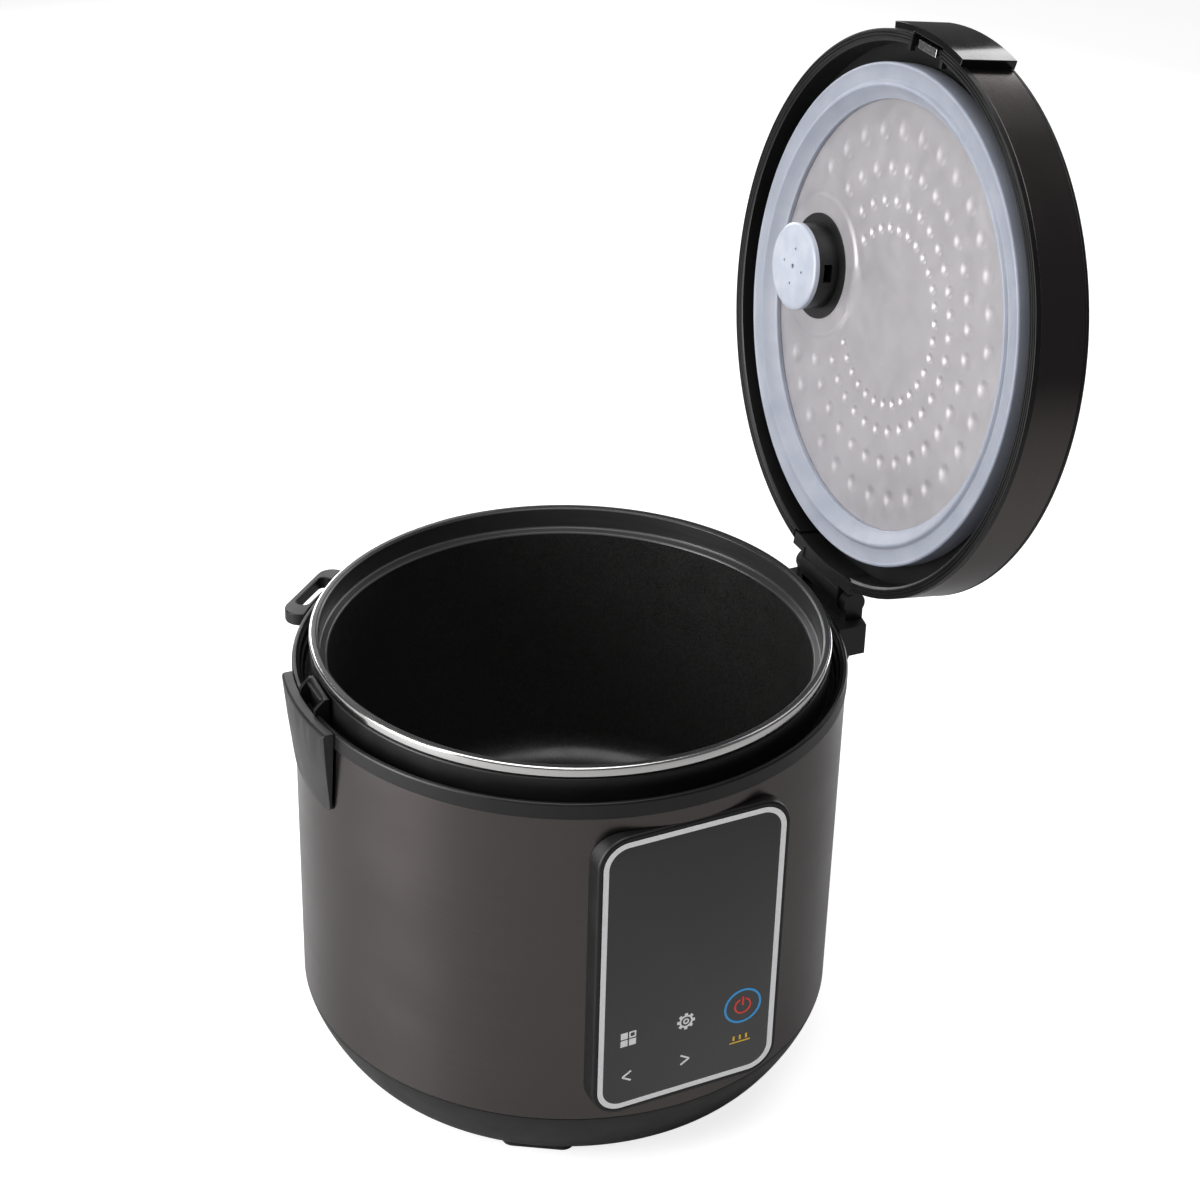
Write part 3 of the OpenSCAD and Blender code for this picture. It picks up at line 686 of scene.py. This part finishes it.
def make_band():
    """Metal band round the lid, open at the latch and notched at the hinge."""
    outline = [(LID_R, LID_Z + 3.3), (LID_R, LID_TOP - 2.7), (LID_R - 0.2, LID_TOP - 2.5),
               (LID_R - 0.8, LID_TOP - 2.5), (LID_R - 0.8, LID_Z + 3.1), (LID_R - 0.2, LID_Z + 3.1)]
    band = lathe("lid_metal_band", outline, 360 - 2 * BUMP_HALF, BUMP_HALF - 180)
    place(cut(band, hinge_notch()), "lid_band")


def make_trim():
    outline = [(130, LID_TOP - 2.4), (LID_R + 0.1, LID_TOP - 2.4), (LID_R + 0.1, LID_TOP - 1),
               (LID_R - 0.8, LID_TOP), (130, LID_TOP)]
    trim = lathe("lid_trim_ring", outline, 360 - 2 * BUMP_HALF - 0.2, BUMP_HALF + 0.1 - 180)
    place(trim, "lid_trim", round_by=0.3)


def make_cover():
    """Domed cover with the hole for the steam cap and the recess for the button."""
    wall = 2.2
    radii = [DOME_R * (1 - k / 24) for k in range(25)]
    outline = [(r, dome(r)) for r in radii]
    outline += [(r, dome(r) - wall) for r in reversed(radii[2:])]
    outline += [(127.6, LID_TOP - 2.4), (127.6, ROOF_Z + 9), (DOME_R, ROOF_Z + 9)]
    cover = cut(lathe("lid_dome", outline), drum_tool(0, VALVE_Y, ROOF_Z, ROOF_Z + 40, 19),
                box_tool(-132, -101.4, -13.2, 13.2, ROOF_Z + 3, LID_TOP + 12))
    place(cover, "lid_cover", round_by=0.4)


def make_latch_bump():
    """Raised box at the rim that guards the latch, with its window to the hook."""
    outline = [(LID_R - 1, LID_Z + 3.1), (LID_R + 0.1, LID_Z + 3.1), (LID_R + 0.1, LID_Z), (BUMP_R, LID_Z),
               (BUMP_R, LID_TOP + 0.6), (DOME_R + 0.1, LID_TOP + 0.6), (DOME_R + 0.1, LID_TOP - 2.5),
               (LID_R - 1, LID_TOP - 2.5)]
    bump = lathe("latch_guard", outline, 2 * BUMP_HALF, 180 - BUMP_HALF)
    cut(bump, box_tool(-136.6, -120, -LATCH_HALF, LATCH_HALF, LID_Z - 1, LID_TOP + 2))
    place(bump, "latch_housing", round_by=0.8, segments=3)


def make_gasket():
    """Silicone seal ring round the plate, with its two lips."""
    z = PLATE_Z
    outline = [(103.6, z), (103.6, z - 2.4), (105.2, z - 3.2), (108.6, z - 6.6), (109.8, z - 7.8),
               (110.8, z - 8), (111.6, z - 7.2), (112.2, z - 6.2), (118.6, z - 6.6), (119.8, z - 7.4),
               (120.8, z - 6.8), (121, z - 5.6), (120.6, z + 4.4), (118.1, z + 4.4), (118.1, z)]
    place(lathe("seal_ring", outline), "lid_gasket", round_by=0.5, segments=3)


DIMPLE_RINGS = ((42.6, 2.9), (55.7, 3.5), (71.3, 4.2), (88.9, 4.9))  # ring radius, dimple radius


def dimple_depth(x, y):
    """How far the plate is pressed back at a point: four rings of dimples, larger outwards."""
    per_ring = 32
    deepest = 0.95
    boss_clearance = 41
    depth = 0.0
    for ring, (radius, size) in enumerate(DIMPLE_RINGS):
        shift = 0.0 if ring % 2 else 0.5
        turn = math.atan2(y, x) * per_ring / (2 * math.pi) - shift
        near = (round(turn) + shift) * 2 * math.pi / per_ring
        dx = radius * math.cos(near)
        dy = radius * math.sin(near)
        if math.hypot(dx, dy - VALVE_Y) < boss_clearance:
            continue
        off = math.hypot(x - dx, y - dy) / size
        if off < 1:
            depth = deepest * (1 - off * off) ** 1.3
    return depth


def boss_height(x, y):
    """The round boss pressed out around the valve."""
    away = math.hypot(x, y - VALVE_Y)
    rise = min(max((37.5 - away) / 3.0, 0.0), 1.0)
    return 0.9 * rise * rise * (3 - 2 * rise)


def make_plate():
    """Inner lid plate, a polar grid fine enough to carry its dimples."""
    steps = 576
    outer = 118.0
    fine = np.arange(37.0, 94.5, 0.9)
    radii = [0.0, 6, 12, 18, 24, 30, 34] + list(fine) + [96, 98, 100, 102, 104, 108, 112, outer]
    points = [(0.0, 0.0, PLATE_Z)]
    for radius in radii[1:]:
        for k in range(steps):
            angle = 2 * math.pi * k / steps
            x = radius * math.cos(angle)
            y = radius * math.sin(angle)
            points.append((x, y, PLATE_Z + dimple_depth(x, y) - boss_height(x, y)))
    faces = [(0, 1 + k, 1 + (k + 1) % steps) for k in range(steps)]
    for i in range(len(radii) - 2):
        for k in range(steps):
            m = (k + 1) % steps
            a = 1 + i * steps
            faces.append((a + k, a + steps + k, a + steps + m, a + m))
    hole = 20.0
    clear = [f for f in faces
             if min(math.hypot(points[v][0], points[v][1] - VALVE_Y) for v in f) > hole]
    plate = mesh_object("dimpled_plate", points, clear)
    sheet = plate.modifiers.new("sheet", "SOLIDIFY")
    sheet.thickness = 1.2 * MM
    sheet.offset = -1.0
    for face in plate.data.polygons:
        if face.normal.z > 0:
            sheet.offset = 1.0
            break
    bake_modifiers(plate)
    tidy(plate)
    place(plate, "lid_plate")


# ---------- steam valve ----------
def moved_to_valve(obj):
    obj.data.transform(Matrix.Translation((0, VALVE_Y * MM, 0)))
    return obj


def make_valve():
    """Valve housing under the plate: flange, drum with its steam slots, and sleeve."""
    drum = VALVE_R - 0.8
    sleeve = 18.6
    bore = 15.0
    step_z = PLATE_Z - 6
    outline = [(4.1, LID_Z - 4), (drum, LID_Z - 4), (drum, PLATE_Z - 1.6), (26.5, PLATE_Z - 1.6),
               (26.5, PLATE_Z), (sleeve, PLATE_Z), (sleeve, ROOF_Z + 21), (bore, ROOF_Z + 21),
               (bore, step_z), (4.1, step_z)]
    body = lathe("valve_housing", outline)
    slots = [turned(box_tool(12, 30, -4.5, 4.5, LID_Z - 1, LID_Z + 3.6), az) for az in (20, 140, 260)]
    place(moved_to_valve(cut(body, *slots)), "valve_body", round_by=0.3)


def make_valve_cap():
    """Translucent disc over the valve with its pin hole and four small vents."""
    outline = [(1.2, CAP_LO[2]), (VALVE_R - 2.5, CAP_LO[2]), (VALVE_R - 1, CAP_LO[2] + 0.25),
               (VALVE_R - 0.25, CAP_LO[2] + 0.9), (VALVE_R, CAP_LO[2] + 1.8), (VALVE_R, CAP_HI[2]),
               (1.2, CAP_HI[2])]
    cap = lathe("valve_disc", outline)
    vents = [turned(drum_tool(9, 0, CAP_LO[2] - 1, CAP_HI[2] + 1, 0.7, 20), 90 * k) for k in range(4)]
    place(moved_to_valve(cut(cap, *vents)), "valve_cap", round_by=0.15)


def make_vent_cap():
    """Steam cap on the lid's top that lifts out for cleaning."""
    cap_lo, cap_hi = corners("vent_cap", shut=True)
    cap_r = (cap_hi[0] - cap_lo[0]) / 2
    top = cap_hi[2]
    stem = 14.6
    outline = [(0, top - 2.2), (14, top - 2.2), (15, top - 0.6), (cap_r - 2.4, top),
               (cap_r - 1.2, top - 0.5), (cap_r, top - 1.9), (cap_r, top - 6), (stem, top - 6),
               (stem, cap_lo[2]), (12.6, cap_lo[2]), (12.6, top - 4.6), (0, top - 4.6)]
    cap = lathe("steam_cap", outline)
    holes = [turned(drum_tool(8.5, 0, LID_TOP, top + 5, 1.8, 32), 60 * k) for k in range(6)]
    place(moved_to_valve(cut(cap, *holes)), "vent_cap", round_by=0.4)


# ---------- the other CAD nodes ----------
def refined(node, round_by):
    """A welded copy of a CAD node with its flat faces whole and its edges softened."""
    obj = bpy.data.objects.new(node + "_piece", NODES[node].data.copy())
    bpy.context.scene.collection.objects.link(obj)
    obj.data.materials.clear()
    work = bmesh.new()
    work.from_mesh(obj.data)
    bmesh.ops.remove_doubles(work, verts=work.verts, dist=2e-6)
    bmesh.ops.dissolve_limit(work, angle_limit=math.radians(0.6), verts=work.verts, edges=work.edges)
    work.to_mesh(obj.data)
    work.free()
    tidy(obj)
    obj["drawn_open"] = True
    place(obj, node, round_by=round_by)


SOFTNESS = {
    "foot_pads": 0.8, "base_screws": 0.3, "collar_screws": 0.2, "latch_catch": 0.35,
    "latch_side_shield": 0.6, "hinge_side_shield": 0.6, "hinge_housing": 0.9, "hinge_pin": 0.3,
    "hinge_spring": 0, "ladle_loop": 1.2, "panel_border": 0, "icons_white": 0, "power_ring": 0,
    "power_mark": 0, "warm_mark": 0, "display_module": 0.4, "touch_board": 0.2, "inner_liner": 0.3,
    "side_heater": 0.3, "heating_plate": 0.5, "heater_tube": 0.3, "plate_posts": 0.3,
    "sensor_guide": 0.4, "sensor_spring": 0, "sensor_cup": 0.5, "thermal_fuse": 0.3,
    "power_board": 0.2, "board_posts": 0.3, "transformer": 0.8, "relay": 0.5, "capacitor": 0.6,
    "wiring": 0, "power_inlet": 0.6, "inlet_pins": 0.3, "lid_hinge_block": 0.7, "latch_pin": 0.2,
    "latch_spring": 0, "lid_screws": 0.3, "plate_clips": 0.2, "latch_lever": 0.6, "latch_hook": 0.3,
    "float_pin": 0.4,
}

for build in (make_base, make_shell, make_collar, make_panel_frame, make_glass, make_pot, make_rim,
              make_band, make_trim, make_cover, make_latch_bump, make_gasket, make_plate, make_valve,
              make_valve_cap, make_vent_cap):
    build()
for node_name, softness in SOFTNESS.items():
    refined(node_name, softness)


# ---------- studio ----------
def make_floor():
    """Pale sheet that the cooker stands on; it glows for camera rays only, so that it is seen white."""
    size = 3.0
    glow = 0.8
    mesh = bpy.data.meshes.new("floor")
    mesh.from_pydata([(x * size, y * size, 0) for x, y in ((-1, -1), (1, -1), (1, 1), (-1, 1))],
                     [], [(0, 1, 2, 3)])
    floor = bpy.data.objects.new("floor", mesh)
    bpy.context.scene.collection.objects.link(floor)
    mat, surface = surface_of("floor_paper", (0.5, 0.5, 0.5), 0.6)
    spread(mat, noise(mat, 200), 0.55, 0.7, surface.inputs["Roughness"])
    rays = mat.node_tree.nodes.new("ShaderNodeLightPath")
    lift = mat.node_tree.nodes.new("ShaderNodeMath")
    lift.operation = "MULTIPLY"
    lift.inputs[1].default_value = glow
    link(mat, rays.outputs["Is Camera Ray"], lift.inputs[0])
    link(mat, lift.outputs["Value"], surface.inputs["Emission Strength"])
    surface.inputs["Emission Color"].default_value = (1, 1, 1, 1)
    mesh.materials.append(mat)


def softbox(name, at, toward, width, height, power):
    lamp = bpy.data.lights.new(name, "AREA")
    lamp.shape = "RECTANGLE"
    lamp.size = width
    lamp.size_y = height
    lamp.energy = power
    obj = bpy.data.objects.new(name, lamp)
    bpy.context.scene.collection.objects.link(obj)
    obj.location = at
    obj.rotation_mode = "QUATERNION"
    obj.rotation_quaternion = (Vector(toward) - Vector(at)).to_track_quat("-Z", "Y")


def make_light():
    """White surroundings for camera rays, a darker room for what the pieces reflect, and softboxes."""
    world = bpy.data.worlds.new("studio")
    bpy.context.scene.world = world
    world.use_nodes = True
    nodes = world.node_tree.nodes
    nodes.clear()
    room = nodes.new("ShaderNodeBackground")
    room.inputs["Color"].default_value = (0.98, 0.98, 1.0, 1)
    room.inputs["Strength"].default_value = 0.1
    seen = nodes.new("ShaderNodeBackground")
    seen.inputs["Color"].default_value = (1, 1, 1, 1)
    seen.inputs["Strength"].default_value = 1.0
    rays = nodes.new("ShaderNodeLightPath")
    mix = nodes.new("ShaderNodeMixShader")
    out = nodes.new("ShaderNodeOutputWorld")
    links = world.node_tree.links
    links.new(rays.outputs["Is Camera Ray"], mix.inputs["Fac"])
    links.new(room.outputs["Background"], mix.inputs[1])
    links.new(seen.outputs["Background"], mix.inputs[2])
    links.new(mix.outputs["Shader"], out.inputs["Surface"])
    middle = (0, 0, 0.2)
    softbox("left_box", (-1.5, 0.0, 0.5), middle, 0.86, 1.4, 32)
    softbox("right_box", (1.3, 0.7, 0.6), middle, 0.7, 1.2, 10)
    softbox("top_box", (-0.3, -0.2, 1.7), middle, 1.4, 1.4, 16)
    softbox("back_box", (0.0, 1.6, 0.7), middle, 0.9, 0.9, 10)


def make_camera():
    """Long lens above and to the left of the panel, rolled a little as the photograph is."""
    azimuth = math.radians(24.83)
    elevation = math.radians(29.658)
    roll = math.radians(1.526)
    around = Matrix.Rotation(-azimuth, 3, "Z")
    right = around @ Vector((1, 0, 0))
    up = around @ Vector((0, math.sin(elevation), math.cos(elevation)))
    look = around @ Vector((0, math.cos(elevation), -math.sin(elevation)))
    target = around @ Vector((0.0138, 0, 0.2465))
    distance = 1.284
    axis_x = math.cos(roll) * right + math.sin(roll) * up
    axis_y = -math.sin(roll) * right + math.cos(roll) * up
    lens = bpy.data.cameras.new("camera")
    lens.lens = 79.65
    lens.sensor_width = 36.0
    lens.clip_start = 0.05
    cam = bpy.data.objects.new("camera", lens)
    bpy.context.scene.collection.objects.link(cam)
    turn = Matrix((axis_x, axis_y, -look)).transposed()
    cam.matrix_world = Matrix.Translation(target - look * distance) @ turn.to_4x4()
    bpy.context.scene.camera = cam


make_floor()
make_light()
make_camera()
bpy.context.scene.view_settings.view_transform = "Standard"
